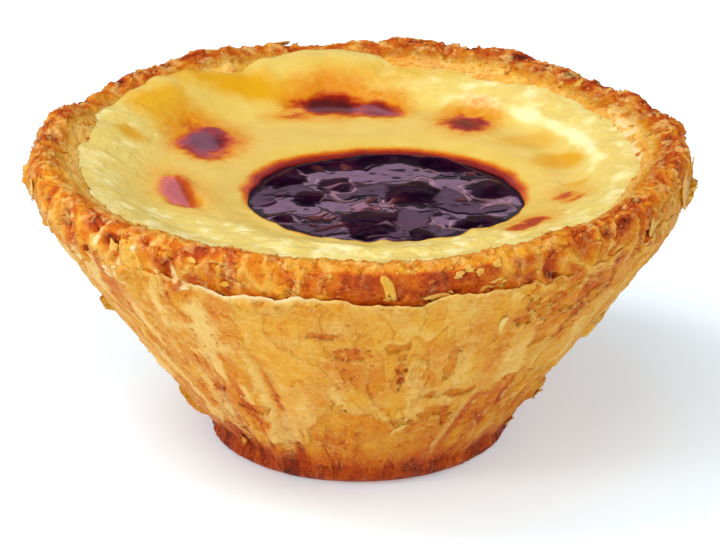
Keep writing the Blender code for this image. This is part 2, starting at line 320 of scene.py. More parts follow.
# What a pastry mesh says about each of its points
PASTRY_FIELDS = ("brown", "pale", "leaf", "skin")

# Camera: it looks at a point on the tart's axis from the front, from far off, as a long lens does
CAMERA_DISTANCE = 0.7
CAMERA_ELEVATION = 22.04
CAMERA_TARGET_HEIGHT = 0.017
PIXELS_PER_METRE = 8728
IMAGE_WIDTH = 720
TARGET_PIXEL = (358.6, 291.5)
IMAGE_MIDDLE = (360, 280)


def ripple(points, size, seed):
    """Smooth noise of about -1 to 1 at each point of an (n, 3) array, its bumps size mm apart."""
    moved = points / size + np.array((7.3, -3.1, 1.7)) * seed
    return np.array([noise.noise(spot) for spot in moved.tolist()])


def ragged(points, size, seed, octaves=3):
    """Noise with ever finer and fainter layers, for torn edges."""
    total = 0
    for octave in range(octaves):
        total = total + 0.5**octave * ripple(points, size / 2.3**octave, seed + 0.37 * octave)
    return total


def smooth(low, high, value):
    """0 below low, rising smoothly to 1 at high."""
    share = np.clip((value - low) / (high - low), 0, 1)
    return share * share * (3 - 2 * share)


def fade(low, high, value):
    """1 below low, falling smoothly to 0 at high."""
    return 1 - smooth(low, high, value)


def mix(first, second, share):
    return first + (second - first) * share


def turn_between(first, second):
    """Degrees from one azimuth to another, by the shorter way round."""
    return (second - first + 180) % 360 - 180


def within(azimuth, *stretches):
    """1 inside any of these stretches round the tart, fading to 0 past their ends."""
    share = 0
    for low, high, soft in stretches:
        away = np.abs(turn_between(0.5 * (low + high), azimuth)) - 0.5 * (high - low)
        share = np.maximum(share, fade(-0.5 * soft, 0.5 * soft, away))
    return share


def place(azimuth, radius, height):
    """Points in mm from azimuths, radii and heights, as an (n, 3) array."""
    angle = np.radians(azimuth)
    return np.stack([radius * np.sin(angle), -radius * np.cos(angle), height + 0 * angle], axis=-1)


def squeezed(points, x=1, y=1, z=1):
    return points * np.array((x, y, z))


def swirl(points, size, *seeds):
    """A shift in each direction that has a seed, to warp a pattern with."""
    shifts = [ripple(points, size, seed) for seed in seeds]
    return np.column_stack(shifts + [np.zeros(len(points))] * (3 - len(seeds)))


def smoothed(corners, between_corners):
    """A smooth curve through the corners, as points."""
    ends = [corners[0], *corners, corners[-1]]
    points = []
    for before, first, second, after in zip(ends, ends[1:], ends[2:], ends[3:]):
        before, first, second, after = (np.array(corner) for corner in (before, first, second, after))
        for share in np.linspace(0, 1, between_corners, endpoint=False):
            bend = 2 * before - 5 * first + 4 * second - after
            twist = -before + 3 * first - 3 * second + after
            points.append(0.5 * (2 * first + (second - before) * share + bend * share**2 + twist * share**3))
    return np.array(points + [np.array(corners[-1])])


def spaced(points, step):
    """The same line, as points that lie step mm apart."""
    lengths = np.concatenate([[0], np.cumsum(np.linalg.norm(np.diff(points, axis=0), axis=1))])
    marks = np.linspace(0, lengths[-1], int(lengths[-1] / step) + 1)
    return np.stack([np.interp(marks, lengths, points[:, axis]) for axis in (0, 1)], axis=-1)


def along(corners, value):
    """The value that a smooth curve through (place, value) corners has at each place."""
    curve = smoothed(corners, 8)
    return np.interp(value, curve[:, 0], curve[:, 1])


def wall_radius(height):
    """The cup's outer cone, which turns upright a little above its shoulder."""
    cone = mix(HEEL_RADIUS, WALL_TOP_RADIUS, (height - HEEL_HEIGHT) / (WALL_TOP - HEEL_HEIGHT))
    return cone - 0.04 * np.clip(height - WALL_TOP, 0, None) ** 2


def patches(table, azimuth, radius, height):
    """For each patch of a table: how far points lie from its middle, 1 at its edge, then its other values."""
    for middle, centre, half_width, half_height, *rest in table:
        across = np.radians(turn_between(middle, azimuth)) * radius / half_width
        up = (height - centre) / half_height
        yield (np.hypot(across, up), half_width, half_height, *rest)


def sway(points):
    """The slow unevenness of the pressed dough, shared by wall and rim."""
    return 0.5 * ripple(squeezed(points, z=0.35), 13, 1) + 0.22 * ripple(points, 4.5, 2)


def fold_relief(azimuth, height):
    """How far the long folds draw the wall in, with painted shade along their creases and a painted highlight
    on one side of them.
    """
    inward = crease_shade = edge = 0
    for top, bottom, low, high, depth, half_width in FOLDS:
        middle = mix(bottom, top, (height - low) / (high - low))
        across = np.radians(turn_between(middle, azimuth)) * wall_radius(height) / half_width
        ends = smooth(low - 3, low + 1.5, height) * fade(high - 6, high + 1, height)
        inward = inward + depth * np.exp(-across * across) * ends
        # Painted shade along the middle of each fold
        crease_shade = np.maximum(crease_shade, min(depth, 1) * np.exp(-((across / 0.32) ** 2)) * ends)
        # A painted highlight on one side of each fold
        edge = np.maximum(edge, min(depth, 1) * np.exp(-(((across + 0.85) / 0.35) ** 2)) * ends)
    return -inward, crease_shade, edge


def flake_relief(azimuth, radius, height):
    """How far the named flakes stand off the crust."""
    lift = 0
    torn = 0.55 * ragged(place(azimuth, radius, height), 1.3, 95)
    for away, _, _, rise in patches(FLAKES, azimuth, radius, height):
        lift = np.maximum(lift, rise * fade(0.7, 1.05, away + torn))
    return lift


def rim_lift(azimuth):
    """How far the crest stands above its mean height, and how far the rim leans out."""
    ring = place(azimuth, CREST_RADIUS, 0)
    lift = 0.22 * ripple(ring, 4.5, 6) - 0.35 * within(azimuth, LOW_BACK)
    lean = 0.35 * ripple(ring, 19, 7)
    for middle, half_width, rise in CREST_WAVES:
        lift += rise * fade(0.3, 1.3, np.abs(turn_between(middle, azimuth)) / half_width)
    return lift, lean


def inner_radius(azimuth, height):
    """The cup's inner face, which the custard follows."""
    above = mix(SILL_RADIUS, CREST_INNER_RADIUS, (height - SILL) / (HEIGHT - 0.5 - SILL))
    below = np.minimum(SILL_RADIUS, wall_radius(height) - WALL_DEPTH + 0.9 * smooth(SILL - 8, SILL, height))
    radius = np.where(height > SILL, above, below)
    showing = smooth(SILL - 6, SILL, height)
    return radius + showing * 0.5 * ripple(place(azimuth, radius, height), 6, 10)


def slits(points, size, seed):
    """Short cracks with a lifted edge on one side: how open they are, and where that edge is."""
    line = ripple(points, size, seed) + 0.22 * ripple(points, 0.3 * size, seed + 0.5)
    broken = smooth(0, 0.3, ripple(points, 1.3 * size, seed + 0.25))
    lifted = smooth(0.06, 0.1, line) * fade(0.12, 0.22, line)
    return fade(0.02, 0.08, np.abs(line)) * broken, lifted * broken


def terraces(level, edge):
    """Whole levels joined by short steep rises."""
    whole = np.floor(level)
    return whole + smooth(1 - edge, 1, level - whole)


def crumbly_side(azimuth, height):
    """The rough orange stretches under the rim, at the right of the front and round the back."""
    rough = 0
    for away, *_ in patches(CRUMBLY, azimuth, wall_radius(height), height):
        rough = np.maximum(rough, fade(0.45, 1.25, away))
    return rough


def front_lip(azimuth):
    """1 across the front, where the leaf's torn edge stands clear of the band."""
    return within(azimuth, CLEAR_LIP)


def skin_cover(azimuth, height, points):
    """How far inside the smooth outer leaf a point lies, in mm: below 0 the leaf has peeled or torn."""
    torn = ragged(points, 2.2, 23, 4)
    flat = squeezed(points, z=0)
    lower_edge = 11.5 + 6 * ripple(flat, 14, 26) + 3 * ripple(flat, 4.5, 55)
    lower_edge = mix(lower_edge, 5.5, within(azimuth, LOW_LEAF))
    inside = height - lower_edge + 2.25 * torn
    shred = ragged(points, 1.3, 24, 3)
    for away, half_width, half_height in patches(TEARS, azimuth, wall_radius(height), height):
        reach = min(half_width, half_height)
        inside = np.minimum(inside, (away - 1) * reach + (0.25 + 0.5 * reach) * shred)
    return np.minimum(inside, 2.2 * (0.8 - crumbly_side(azimuth, height)) + 1.35 * torn)


def wall_fields(azimuth, height):
    """Relief in mm of the outer wall, with its browning and painted shade, paleness and painted highlights,
    leaf level and skin cover.
    """
    points = place(azimuth, wall_radius(height), height)
    upright = place(azimuth, MEAN_RADIUS, 0.25 * height)
    leaf = 2.3 * ripple(squeezed(points, z=0.7), 10, 3) + 1.5 * ragged(upright, 4.2, 4, 4)
    inside = skin_cover(azimuth, height, points)
    cover = smooth(-0.12, 0.12, inside)
    crumbly = crumbly_side(azimuth, height)
    drift = azimuth + 5 * ripple(points, 9, 76)
    streaks = ripple(place(drift, MEAN_RADIUS, 0.13 * height), 1.5, 27)
    streaks += 0.5 * ripple(place(drift, MEAN_RADIUS, 0.2 * height), 0.6, 28)
    sides = within(azimuth, *STREAKED_SIDES)
    blisters = ripple(points, 2.2, 28)
    folds, crease_shade, fold_highlight = fold_relief(azimuth, height)
    standing = smooth(2, 7, height)
    crack, lifted = (standing * part for part in slits(place(azimuth, MEAN_RADIUS, 0.45 * height), 4, 56))
    nick, raised = (standing * part for part in slits(points, 2.6, 57))

    relief = sway(points) + 0.12 * terraces(leaf, 0.14) + SKIN * cover
    relief += (0.05 + 0.18 * sides) * streaks + 0.12 * blisters + 0.28 * crumbly * ripple(points, 1.6, 30)
    relief += (0.06 + 0.2 * crumbly + 0.1 * (1 - cover)) * ripple(points, 0.75, 29)
    relief += 0.08 * ripple(points, 1.5, 58) - 0.2 * crack - 0.12 * nick + 0.16 * lifted + 0.12 * raised
    relief += folds + flake_relief(azimuth, wall_radius(height), height)
    relief += 0.2 * sides * standing * ragged(points, 1.8, 91)
    relief -= 0.75 * (1 - front_lip(azimuth)) * smooth(26.5, 30.5, height) + 0.3 * fade(20, 27, height)
    relief -= 0.7 * within(azimuth, THIN_SHOULDER) * smooth(21, 26, height)

    cloudy = ripple(points, 6.5, 31)
    mottle = ripple(upright, 2.4, 32)
    brown = mix(0.52, 0.42, cover) + 0.08 * cloudy + 0.07 * mottle - 0.15 * sides * streaks
    # Browner in the crumbly patches and low down; painted shade darkens the left side, where the lamps fall
    # strongest
    brown += 0.05 * crumbly + 0.05 * within(azimuth, SHADED_LEFT) + 0.05 * smooth(0, 9, 14 - height)
    # Painted shade darkens the cracks, nicks and fold creases, and the inner edge of each tear
    brown += 0.12 * crack + 0.1 * nick + 0.28 * crease_shade + 0.08 * smooth(-0.6, -0.1, inside) * (1 - cover)
    foot = fade(0.4, 6, height + 0.7 * ripple(points, 4, 33) + 0.3 * mottle)
    brown = mix(brown, 0.92 + 0.05 * mottle, foot)
    left = within(azimuth, PALE_LEFT)
    pale = (0.5 + 0.5 * left) * smooth(0.15, 0.5, ripple(upright, 3, 35) + 0.3 * blisters) * cover
    pale = np.maximum(pale, (0.6 + 0.3 * left) * sides * smooth(0.25, 0.6, streaks + 0.4 * mottle) * cover)
    # A painted highlight beside each fold, with the pale lifted edges of the cracks
    pale = np.maximum(pale, 0.5 * lifted + 0.4 * raised + 0.8 * fold_highlight) * standing
    return relief, brown, pale, leaf, inside


def lip_height(azimuth):
    """Height of the torn upper edge of the outer leaf: even across the front, ragged elsewhere."""
    ring = place(azimuth, WALL_TOP_RADIUS, 0)
    front = front_lip(azimuth)
    calm = mix(30.8, 31.2, smooth(-24, -6, turn_between(0, azimuth)))
    calm = calm - 0.9 * within(azimuth, LIP_DIP)
    edge = mix(30.9 + 0.8 * ripple(ring, 7, 36), calm, front)
    return edge + mix(0.8, 0.42, front) * ragged(ring, 2.2, 34, 4) + 0.2 * ripple(ring, 0.8, 64)


def cup_wall():
    """The outer leaf of the cup with its foot, closed by a plain face inside it."""
    azimuth = np.linspace(0, 360, WALL_AROUND, endpoint=False)
    plain = np.zeros_like(azimuth)
    rings = []
    for radius in np.linspace(0.5, FOOT_RADIUS, FOOT_ROWS):
        points = place(azimuth, radius, 0)
        points[:, 2] += 0.12 * np.abs(ripple(points, 2, 37)) * smooth(1, 4, FOOT_RADIUS - radius)
        rings.append((points, 0.9 + 0.08 * ripple(points, 3, 38), plain, plain + 0.5, plain - 1))
    relief, brown, pale, leaf, inside = wall_fields(azimuth, plain + HEEL_HEIGHT)
    for step in range(1, HEEL_ROWS + 1):
        angle = math.radians(90 * step / (HEEL_ROWS + 1))
        radius = FOOT_RADIUS + (HEEL_RADIUS - FOOT_RADIUS) * math.sin(angle)
        height = HEEL_HEIGHT * (1 - math.cos(angle))
        grain = 0.22 * smooth(0, 0.6, height) * ragged(place(azimuth, radius, height), 1.6, 39)
        points = place(azimuth, radius + smooth(0.2, HEEL_HEIGHT, height) * relief + grain, height)
        rings.append((points, brown, pale, leaf + 0.7 * ripple(points, 1.8, 54), inside))
    lip = lip_height(azimuth)
    front = front_lip(azimuth)
    lip_left = within(azimuth, WHITE_LIP)
    for step in range(WALL_ROWS + 1):
        height = mix(HEEL_HEIGHT, lip, step / WALL_ROWS)
        relief, brown, pale, leaf, inside = wall_fields(azimuth, height)
        depth = 0.6 + 0.5 * lip_left + 0.5 * ripple(place(azimuth, 36, 0), 3, 40)
        near_lip = smooth(-depth, -0.05, height - lip)
        pale = np.maximum(pale, near_lip * (0.35 + 0.6 * front + 0.5 * lip_left))
        rings.append((place(azimuth, wall_radius(height) + relief, height), brown, pale, leaf, inside))
    top, *fields = rings[-1]
    for inward, down in ((0.12, -0.02), (0.5, 0.15), (2.4, 1.4), (5, 4)):
        rings.append((top - place(azimuth, inward, 0) - np.array((0, 0, down)), *fields))
    rings.append((place(azimuth, HEEL_RADIUS - 4, 5), *fields))
    return wrapped_mesh("pastry_wall", rings, "poles", PASTRY_FIELDS)


def rim_profile():
    """The rim's section, as points set evenly: the outer band, the crest and the sloping inner face."""
    corners = (
        (34.9, 28.2),
        (36.3, 29.2),
        (37.1, 30.6),
        (BAND_RADIUS - 0.05, BAND_HEIGHT - 0.4),
        (BAND_RADIUS - 0.05, HEIGHT - 1.7),
        (37.1, HEIGHT - 0.7),
        (36.4, HEIGHT - 0.1),
        (35.6, HEIGHT),
        (34.5, HEIGHT - 0.35),
        (33.3, HEIGHT - 1),
        (SILL_RADIUS, HEIGHT - 1.8),
        (SILL_RADIUS - 0.9, SILL),
        (SILL_RADIUS - 1.6, SILL - 1.4),
        (SILL_RADIUS - 2.2, SILL - 3.4),
    )
    return spaced(smoothed(corners, 10), 0.17)


def rim_fields(azimuth, radius, height, inside):
    """Relief in mm of the rim's band, crest and inner face, with its browning, painted light and shade,
    paleness and leaf level.
    """
    points = place(azimuth, radius, height)
    crest = smooth(HEIGHT - 1.3, HEIGHT - 0.2, height)
    face = inside * (1 - 0.8 * crest)
    band = (1 - inside) * (1 - 0.7 * crest)
    calm = within(azimuth, CALM_BAND) * band
    tan = within(azimuth, *TAN_BANDS)
    left = within(azimuth, LEFT_FACE)
    warped = squeezed(points, z=0.5) + 0.5 * swirl(points, 2, 41, 42, 43)
    cell = np.abs(ripple(warped, 2.5, 44))
    ridge = fade(0, 0.16, cell)
    hollow = smooth(0.2, 0.5, cell)
    rough = 1 - 0.8 * calm - 0.45 * face
    free = smooth(30.2, 32, height)
    crack, lifted = slits(squeezed(points, z=1.5), 2.8, 59)
    pitted = within(azimuth, *PITTED_BANDS) * band * (1 - 0.7 * tan)
    pits = smooth(0.2, 0.42, ripple(warped, 2.2, 47)) * pitted
    layers = 1.1 * height * face
    leaf = layers + 1.5 * ragged(squeezed(points, z=1.4), 4, 48, 4)

    relief = band * free * (0.25 * ripple(points, 5.2, 8) + 0.25 * ripple(points, 2.6, 9))
    relief += band * fade(31, 34, height) * sway(place(azimuth, radius, np.minimum(height, 31)))
    relief += rough * free * (0.16 * ridge - 0.2 * hollow) * (1 - 0.5 * crest) * (1 - 0.6 * tan)
    relief += (0.08 + 0.12 * tan) * (1 - 0.7 * face) * ripple(points, 0.8, 84)
    relief += (rough - 0.1) * (0.25 * lifted - 0.3 * crack)
    relief += (0.1 + 0.12 * crest) * ripple(points, 0.95, 45)
    relief += (0.08 + 0.1 * crest) * ripple(points, 0.45, 46)
    relief += (0.18 - 0.12 * calm) * (terraces(leaf, 0.2) - layers) - 0.8 * pits
    relief = relief * (1 - (0.4 + 0.3 * left) * face * fade(32.8, 34, height))

    cloudy = ripple(points, 7, 49)
    mottle = ripple(points, 1.9, 50)
    brown = 0.6 - 0.06 * within(azimuth, GOLDEN_BAND) + 0.12 * cloudy + 0.1 * mottle
    brown += rough * (0.16 * hollow - 0.16 * ridge)
    brown = mix(brown, 0.54 + 0.12 * mottle + 0.1 * cloudy, tan * band)
    brown = mix(brown, 0.81 + 0.06 * mottle + 0.04 * cloudy, calm)
    light_crest = within(azimuth, LIGHT_CREST) * smooth(HEIGHT - 1.1, HEIGHT - 0.5, height + 0.25 * mottle)
    brown = mix(brown, 0.44 + 0.1 * mottle, 0.85 * light_crest)
    scorched = within(azimuth, SCORCHED_CREST) * crest
    brown += scorched * (0.05 + 0.12 * smooth(0.1, 0.4, ripple(points, 1.2, 85)))
    brown += 0.07 * crest * (1 - face) * (1 - light_crest)
    # Painted light lightens the inner face on the left, where it lies in shade
    brown = mix(brown, 0.36 - 0.13 * left + 0.14 * mottle + 0.1 * cloudy, face)
    # Dark brown in the pits; painted shade darkens the cracks
    brown = mix(brown, 0.86, pits) + 0.12 * crack * (1 - 0.5 * calm)
    brown += 0.16 * face * smooth(0.1, 0.45, ripple(points, 1.1, 88))

    shreds = ripple(place(azimuth + 2 * ripple(points, 4, 93), 36, 0.3 * height), 1.1, 90)
    shreds += 0.4 * ripple(points, 1, 94)
    pale = 0.7 * smooth(0.12, 0.45, ripple(points, 1.3, 51)) * (0.25 + 0.5 * crest) * (1 - calm)
    pale += rough * 0.45 * ridge * smooth(-0.1, 0.35, ripple(points, 2.7, 53)) * (1 - face)
    pale += 0.45 * lifted * rough
    pale += 1.3 * within(azimuth, SHREDDED_BAND) * band * smooth(0.12, 0.5, shreds)
    dough = 0.4 + 1.1 * within(azimuth, BARE_DOUGH)
    pale += 0.7 * face * smooth(0, 0.35, ragged(points, 2.6, 52)) * dough
    pale += 0.3 * face * fade(33, 34.2, height + 0.5 * ripple(points, 2, 87))
    return relief, brown, np.clip(pale, 0, 1.6), leaf


def rim_points(azimuth, row, lift=0):
    """Points on the rim at these rows of its section, with their fields and the section's direction there."""
    profile = rim_profile()
    forward = np.gradient(profile, axis=0)
    forward = (forward / np.linalg.norm(forward, axis=1)[:, None])[row]
    radius, height = profile[row, 0], profile[row, 1]
    inside = smooth(0, 8, row - float(np.argmax(profile[:, 1])))
    radius = radius + inside * 0.5 * ripple(place(azimuth, SILL_RADIUS, SILL), 6, 10)
    relief, *fields = rim_fields(azimuth, radius, height, inside)
    relief = relief + (1 - inside) * flake_relief(azimuth, radius, height) + lift
    rise, lean = rim_lift(azimuth)
    share = smooth(WALL_TOP, HEIGHT, height)
    radius = radius + forward[:, 1] * relief + lean * share
    height = height - forward[:, 0] * relief + rise * share
    return place(azimuth, radius, height), fields, forward


def cup_rim():
    """The browned rim: a closed ring whose outer band, crest and inner face show."""
    azimuth = np.linspace(0, 360, RIM_AROUND, endpoint=False)
    rings = []
    for row in range(len(rim_profile())):
        points, fields, _ = rim_points(azimuth, np.full(RIM_AROUND, row))
        rings.append((points, *fields, np.ones_like(azimuth)))
    return wrapped_mesh("pastry_rim", rings, "loop", PASTRY_FIELDS)


def pool_edge(azimuth, shrink=0):
    """The wavering edge of the jam pool, as points in the plane."""
    unit = place(azimuth, 1, 0)
    waver = 1 + 0.05 * ripple(unit, 0.55, 11) + 0.025 * ripple(unit, 0.22, 12)
    wide = POOL_HALF_WIDTH * waver - shrink
    deep = POOL_HALF_DEPTH * waver - shrink
    return np.stack([POOL_X + wide * unit[:, 0], POOL_Y + deep * unit[:, 1]], axis=-1)


def bowl_depth(share):
    """Depth of the bowl under the jam, from its middle (0) to its edge (1)."""
    return POOL_BOWL * (1 - share**2.4)


def oval(x, y, middle_x, middle_y, half_x, half_y, turn=0):
    """Distance from an oval's middle, 1 at its edge."""
    angle = math.radians(turn)
    along_x = (x - middle_x) * math.cos(angle) + (y - middle_y) * math.sin(angle)
    along_y = (y - middle_y) * math.cos(angle) - (x - middle_x) * math.sin(angle)
    return np.hypot(along_x / half_x, along_y / half_y)


def custard_climb(azimuth):
    """How much higher than elsewhere the custard meets the pastry."""
    climb = 0
    for middle, half_width, rise in CUSTARD_CLIMBS:
        climb = np.maximum(climb, rise * np.exp(-((turn_between(middle, azimuth) / half_width) ** 2)))
    return climb * (1 + 0.35 * ripple(place(azimuth, SILL_RADIUS, 0), 3, 92))


def custard_level(radius):
    return HEIGHT - along(CUSTARD_DROPS, radius)


def burning(x, y, edge, mottle, height):
    """How burnt and how glossy the custard is around each spot, and its height, as a spot has sunk level."""
    burn = gloss = 0
    for middle_x, middle_y, half_x, half_y, turn, dark, level in SPOTS:
        away = oval(x, y, middle_x, middle_y, half_x, half_y, turn) + (0.4 - 0.2 * level) * edge
        warm = oval(x - 0.2, y - 0.8, middle_x, middle_y, half_x + 1, half_y + 1.4, turn) + 0.12 * edge
        core = fade(0.25, 1.25, away) * (1 - (1 - level) * (1 - dark) * smooth(0, 0.4, mottle))
        burn = np.maximum(burn, dark * np.maximum(core, 0.32 * fade(0.5, 1.5, warm)))
        back, side = y - middle_y, (x - middle_x) / half_x
        slope = 0.035 + 0.1 * smooth(-0.1, 0.5, side + 0.3 * back / half_y)
        flat = custard_level(math.hypot(middle_x, middle_y)) - 0.15 + slope * back
        height = mix(height, flat, level * fade(0.6, 1.1, away))
        gloss = np.maximum(gloss, level * fade(0.45, 0.95, away))
    return burn, gloss, height


def custard_fields(x, y, from_pool):
    """Height of the custard's top, with how burnt, how yellow, how pale with painted highlights, and how
    glossy it is.
    """
    flat = np.stack([x, y, 0 * x], axis=-1)
    radius = np.hypot(x, y)
    azimuth = np.degrees(np.arctan2(x, -y))
    edge = ragged(flat, 2.8, 63)
    mottle = ragged(squeezed(flat, x=0.7), 1.3, 97)
    unburnt = fade(0.1, 0.6, burning(x, y, edge, mottle, 0 * x)[0])
    front = within(azimuth, NEAR_HALF)
    inner_line = mix(25.5, 18, front) + 0.8 * ripple(flat, 6, 59)
    collar = smooth(inner_line - 1.6, inner_line + 2.2, radius) * (1 - 0.75 * within(azimuth, RISEN_COLLAR))
    # A raised ridge round the right of the back; its paleness further down is a painted highlight
    ridge_line = (radius - 27.3 - 0.6 * ripple(flat, 5, 69)) / (0.9 + 0.3 * ripple(flat, 2.6, 83))
    ridge = np.exp(-(ridge_line**2)) * within(azimuth, RIDGE)
    ridge = ridge * (0.7 + 0.3 * smooth(-0.3, 0.2, ripple(flat, 2, 86)))

    curds = 0.1 + 0.14 * ripple(flat, 2.4, 60) + 0.1 * ragged(flat, 1.1, 61)
    wrinkles = 0.05 * ripple(flat, 3.2, 14) + 0.012 * ripple(flat, 0.6, 62)
    swells = 0.16 * ripple(flat, 7, 13) + unburnt * wrinkles
    film = terraces(1.6 * ripple(flat, 6, 98) + 0.5 * ragged(flat, 2, 99), 0.12)
    bumps = swells * smooth(0, 5, from_pool) + unburnt * collar * curds * smooth(0.4, 2, from_pool)
    bumps += 0.07 * film * unburnt * smooth(17, 21, radius) * smooth(1, 3, from_pool)
    climb = custard_climb(azimuth) * smooth(27, 33, radius)
    height = custard_level(radius) + climb + bumps + 0.22 * ridge
    near_jam = HEIGHT - POOL_DROP + 0.1 + 0.35 * front * (1 + ripple(flat, 2, 67))
    height = mix(near_jam, height, smooth(-0.5, 4.5, from_pool))
    burn, gloss, height = burning(x, y, edge, mottle, height)

    glow = 0
    for *shape, strength in GLOWS:
        glow = np.maximum(glow, strength * fade(0.4, 1.4, oval(x, y, *shape) + 0.4 * edge))
    behind = smooth(-0.3, 0.5, (y - POOL_Y) / POOL_HALF_DEPTH)
    halo = fade(-0.1, 0.6 + 1.9 * behind, from_pool + 0.25 * edge)
    burn = np.maximum(burn, halo * (0.3 + 0.55 * behind))
    # Painted highlights: whiter flecks on the collar, most across the front, and a near-white line along the
    # ridge
    glint_flecks = smooth(0.05, 0.5, ripple(flat, 1.7, 68)) + 0.7 * front * smooth(0.05, 0.4, ragged(flat, 0.9, 96))
    pale = collar * (0.65 + 0.35 * smooth(-0.2, 0.3, ripple(flat, 3, 66)) + 0.36 * glint_flecks) + 0.9 * ridge
    return height, burn, glow, pale, gloss


def custard_top():
    """The custard: its top from the jam's edge to the pastry, closed below by a plain face."""
    azimuth = np.linspace(0, 360, CUSTARD_AROUND, endpoint=False)
    edge = pool_edge(azimuth)
    rim_radius = inner_radius(azimuth, SILL + 0.4 + custard_climb(azimuth)) + 0.6
    rim = place(azimuth, rim_radius, 0)[:, :2]
    pool_middle = np.array((POOL_X, POOL_Y))
    zero = np.zeros_like(azimuth)
    rings = []
    under = place(azimuth, 24, 20)
    rings.append((under, zero, zero, zero, zero))
    low_rim = place(azimuth, rim_radius - 0.4, SILL - 2.5)
    rings.append((low_rim, zero, zero, zero, zero))
    for share in np.linspace(1, 0, CUSTARD_ROWS):
        spot = mix(edge, rim, share)
        from_pool = np.linalg.norm(spot - edge, axis=1)
        height, *fields = custard_fields(spot[:, 0], spot[:, 1], from_pool)
        rings.append((np.column_stack([spot, height]), *fields))
    last = rings[-1]
    for share in (0.985, 0.95, 0.8, 0.5, 0.15):
        spot = mix(pool_middle, edge, share)
        depth = last[0][:, 2] - 0.25 - bowl_depth(share)
        rings.append((np.column_stack([spot, depth]), *last[1:]))
    return wrapped_mesh("custard_top", rings, "poles", ("burn", "glow", "pale", "gloss"))


def jam_fields(x, y, from_edge):
    """Height of the jam's top, with how rusty and how wet it looks and where painted highlight lines run."""
    flat = np.stack([x, y, 0 * x], axis=-1)
    warp = flat + 1.1 * swirl(flat, 3.2, 70, 71) + 0.35 * swirl(flat, 1.1, 72, 78)
    across, back = warp[:, 0] - POOL_X, warp[:, 1] - POOL_Y
    mounds = dark = outline = rust = 0
    for *shape, rise in BERRIES:
        away = oval(across, back, *shape)
        mounds = np.maximum(mounds, rise * fade(0, 1.1, away))
        dark = np.maximum(dark, fade(0.7, 0.95, away))
        outline = np.maximum(outline, fade(0.02, 0.07, np.abs(away - 1)))
    for shape in STREAKS:
        rust = np.maximum(rust, fade(0.6, 1.1, oval(across, back, *shape)))
    rust = rust * smooth(-0.15, 0.2, ripple(warp, 1.5, 74))
    seam = fade(0, 0.07, np.abs(ripple(warp, 4.4, 73)))
    thick = smooth(-0.07, 0.03, ripple(squeezed(warp, x=0.6), 3.6, 79) + 0.15 * ripple(warp, 1.2, 80))
    back_edge = POOL_HALF_DEPTH * np.sqrt(np.clip(1 - ((x - POOL_X) / POOL_HALF_WIDTH) ** 2, 0, 1))
    behind = smooth(-4.8, -3, y - POOL_Y - back_edge + 1.2 * ripple(warp, 4, 81))
    # Painted highlight lines along the lumps' outlines and the seams, kept off the back of the pool; they are
    # made wet too
    highlight_lines = np.maximum(0.8 * seam, outline) * smooth(0, 0.2, ripple(warp, 3.6, 82)) * (1 - behind)
    wet = np.maximum((1 - dark) * (1 - 0.62 * thick) * (1 - behind), highlight_lines)
    waves = 0.15 * ripple(squeezed(warp, x=0.8), 4.6, 75) + 0.035 * ripple(warp, 1.6, 77)
    tilt = 0.04 * (y - POOL_Y) + 0.4 * behind
    inner = smooth(0.2, 2.6, from_edge)
    height = HEIGHT - POOL_DROP - 0.05 * smooth(0, 0.8, from_edge)
    height = height + inner * (mounds + waves + tilt + 0.03 * seam + 0.1 * rust + 0.09 * thick)
    return height, rust * inner, wet, highlight_lines * inner


def jam_pool():
    """The blueberry jam: a lens whose lumpy top shows."""
    azimuth = np.linspace(0, 360, POOL_AROUND, endpoint=False)
    edge = pool_edge(azimuth, -0.15)
    pool_middle = np.array((POOL_X, POOL_Y))
    zero = np.zeros_like(azimuth)
    base = HEIGHT - POOL_DROP
    rings = []
    for share in (0.2, 0.6, 0.9):
        spot = mix(pool_middle, edge, share)
        rings.append((np.column_stack([spot, zero + base - 1 - 2 * (1 - share)]), zero, zero, zero))
    for share in np.linspace(1, 0.01, POOL_ROWS):
        spot = mix(pool_middle, edge, share)
        from_edge = np.linalg.norm(edge - spot, axis=1)
        height, *fields = jam_fields(spot[:, 0], spot[:, 1], from_edge)
        rings.append((np.column_stack([spot, height]), *fields))
    return wrapped_mesh("jam_pool", rings, "poles", ("rust", "wet", "highlight_lines"))


def wrapped_mesh(name, rings, ends, masks):
    """A closed mesh through rings of points in mm. Ends is poles, to draw each end to a point, or loop."""
    around = len(rings[0][0])
    count = len(rings)
    total = count * around
    points = np.concatenate([ring[0] for ring in rings])
    values = [np.concatenate([ring[1 + index] for ring in rings]) for index in range(len(masks))]
    last = count if ends == "loop" else count - 1
    here = np.arange(around)
    start = (np.arange(last) * around)[:, None]
    lower = (start + here[None, :]).ravel()
    beside = (start + (here[None, :] + 1) % around).ravel()
    faces = np.column_stack([lower, beside, (beside + around) % total, (lower + around) % total]).tolist()
    if ends == "poles":
        points = np.concatenate([points, [points[:around].mean(axis=0), points[-around:].mean(axis=0)]])
        values = [np.append(value, (value[:around].mean(), value[-around:].mean())) for value in values]
        for spot in here.tolist():
            following = (spot + 1) % around
            faces.append((total, following, spot))
            faces.append((total + 1, total - around + spot, total - around + following))
    return meshed(name, points, faces, dict(zip(masks, values)))


def added(name, data):
    """A new object of the scene."""
    item = bpy.data.objects.new(name, data)
    bpy.context.scene.collection.objects.link(item)
    return item


def meshed(name, points, faces, values):
    """An object of these points in mm, with its fields as attributes."""
    mesh = bpy.data.meshes.new(name)
    mesh.from_pydata((np.asarray(points) * MM).tolist(), [], faces)
    mesh.shade_smooth()
    for mask, value in values.items():
        attribute = mesh.attributes.new(mask, "FLOAT", "POINT")
        attribute.data.foreach_set("value", np.asarray(value, np.float32))
    return added(name, mesh)


